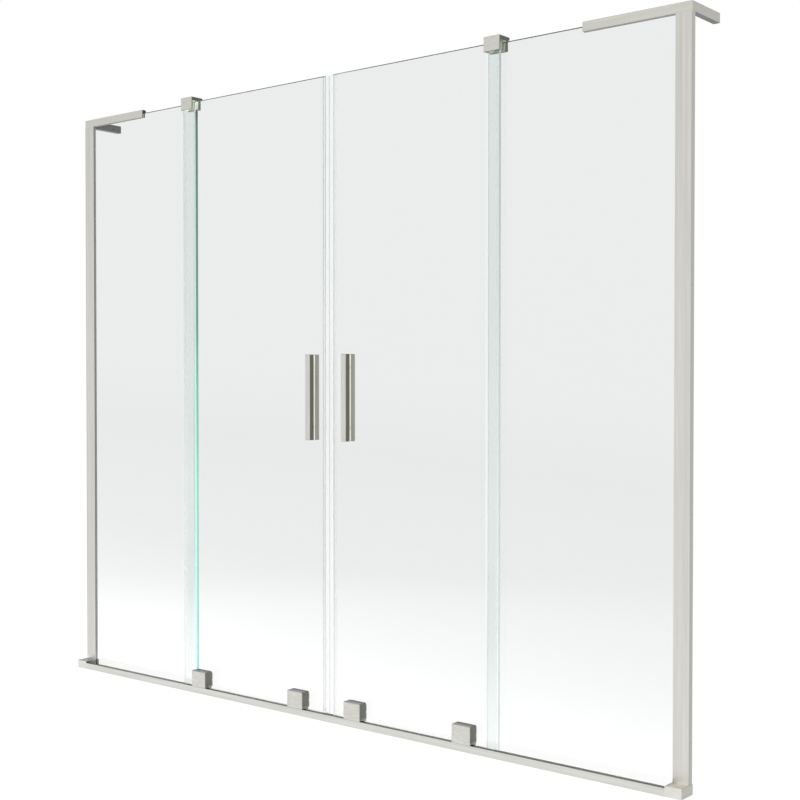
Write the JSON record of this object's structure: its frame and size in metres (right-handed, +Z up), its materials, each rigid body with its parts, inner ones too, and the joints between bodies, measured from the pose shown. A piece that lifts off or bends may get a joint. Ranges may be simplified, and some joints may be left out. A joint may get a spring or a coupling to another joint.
{
  "type": "bath screen",
  "caption": "Framed bath screen: fixed glass panes at both walls and glass doors that slide apart from the middle on a low rail, with bar handles.",
  "frame": {"origin": "middle of the rail's underside, on the bath's rim", "axes": "+X along the rail to the right seen from the room, +Y from the room towards the bath, +Z up"},
  "size_m": [1.8, 0.15, 1.505],
  "materials": {
    "brushed_nickel_profile": "brushed nickel look, grain along each profile",
    "brushed_nickel_fitting": "brushed nickel plated",
    "plain_aluminium": "mill finish",
    "clear_glass": "clear toughened float glass with green edges",
    "clear_seal": "clear soft PVC",
    "grey_rubber": "matt",
    "nylon": "matt moulded",
    "magnet_strip": "matt extruded",
    "stainless_steel": "turned"
  },
  "bodies": {
    "screen_frame": {"bottom_rail": "brushed_nickel_profile", "rail_end_cap_left": "brushed_nickel_profile", "rail_end_cap_right": "brushed_nickel_profile", "wall_channel_left": "plain_aluminium", "wall_channel_right": "plain_aluminium", "wall_profile_left": "brushed_nickel_profile", "wall_profile_right": "brushed_nickel_profile", "corner_bracket_left": "brushed_nickel_profile", "corner_bracket_right": "brushed_nickel_profile", "fixed_glass_left": "clear_glass", "fixed_glass_right": "clear_glass", "top_guide_clip_left": "brushed_nickel_fitting", "top_guide_clip_right": "brushed_nickel_fitting", "clip_guide_liner_left": "clear_seal", "clip_guide_liner_right": "clear_seal", "glazing_gaskets": "grey_rubber", "bottom_gaskets": "grey_rubber", "bracket_pads": "grey_rubber", "clip_clamp_pads": "grey_rubber", "rail_stops": "plain_aluminium"},
    "left_door": {"left_door_glass": "clear_glass", "left_door_outer_carriage": "brushed_nickel_fitting", "left_door_inner_carriage": "brushed_nickel_fitting", "left_door_axles": "stainless_steel", "left_door_guide_feet": "nylon", "left_door_clamp_pads": "grey_rubber", "left_door_clamp_plates": "stainless_steel", "left_door_clamp_screws": "stainless_steel", "left_door_handle_front_bar": "brushed_nickel_fitting", "left_door_handle_rear_bar": "brushed_nickel_fitting", "left_door_handle_gaskets": "grey_rubber", "left_door_handle_studs": "stainless_steel", "left_door_magnetic_seal": "clear_seal", "left_door_seal_magnet": "magnet_strip", "left_door_edge_seal": "clear_seal", "left_door_bottom_wiper": "clear_seal"},
    "right_door": {"right_door_glass": "clear_glass", "right_door_outer_carriage": "brushed_nickel_fitting", "right_door_inner_carriage": "brushed_nickel_fitting", "right_door_axles": "stainless_steel", "right_door_guide_feet": "nylon", "right_door_clamp_pads": "grey_rubber", "right_door_clamp_plates": "stainless_steel", "right_door_clamp_screws": "stainless_steel", "right_door_handle_front_bar": "brushed_nickel_fitting", "right_door_handle_rear_bar": "brushed_nickel_fitting", "right_door_handle_gaskets": "grey_rubber", "right_door_handle_studs": "stainless_steel", "right_door_magnetic_seal": "clear_seal", "right_door_seal_magnet": "magnet_strip", "right_door_edge_seal": "clear_seal", "right_door_bottom_wiper": "clear_seal"},
    "left_outer_roller": {"left_door_outer_roller": "nylon"},
    "left_inner_roller": {"left_door_inner_roller": "nylon"},
    "right_outer_roller": {"right_door_outer_roller": "nylon"},
    "right_inner_roller": {"right_door_inner_roller": "nylon"}
  },
  "joints": [
    {"name": "left_door_slide", "type": "slide", "parent": "screen_frame", "child": "left_door", "axis": [-1, 0, 0], "range_m": [0, 0.35]},
    {"name": "right_door_slide", "type": "slide", "parent": "screen_frame", "child": "right_door", "axis": [1, 0, 0], "range_m": [0, 0.35]},
    {"name": "left_outer_roller_spin", "type": "hinge", "parent": "left_door", "child": "left_outer_roller", "pos_m": [-0.41875, -0.018, 0.0248], "axis": [0, -1, 0], "range_deg": [-10, 2100]},
    {"name": "left_inner_roller_spin", "type": "hinge", "parent": "left_door", "child": "left_inner_roller", "pos_m": [-0.08925, -0.018, 0.0248], "axis": [0, -1, 0], "range_deg": [-10, 2100]},
    {"name": "right_outer_roller_spin", "type": "hinge", "parent": "right_door", "child": "right_outer_roller", "pos_m": [0.39115, -0.018, 0.0248], "axis": [0, 1, 0], "range_deg": [-10, 2100]},
    {"name": "right_inner_roller_spin", "type": "hinge", "parent": "right_door", "child": "right_inner_roller", "pos_m": [0.08665, -0.018, 0.0248], "axis": [0, 1, 0], "range_deg": [-10, 2100]}
  ],
  "couplings": [
    {"joint": "left_outer_roller_spin", "follows": "left_door_slide", "rad_per_m": 103.09},
    {"joint": "left_inner_roller_spin", "follows": "left_door_slide", "rad_per_m": 103.09},
    {"joint": "right_outer_roller_spin", "follows": "right_door_slide", "rad_per_m": 103.09},
    {"joint": "right_inner_roller_spin", "follows": "right_door_slide", "rad_per_m": 103.09}
  ]
}
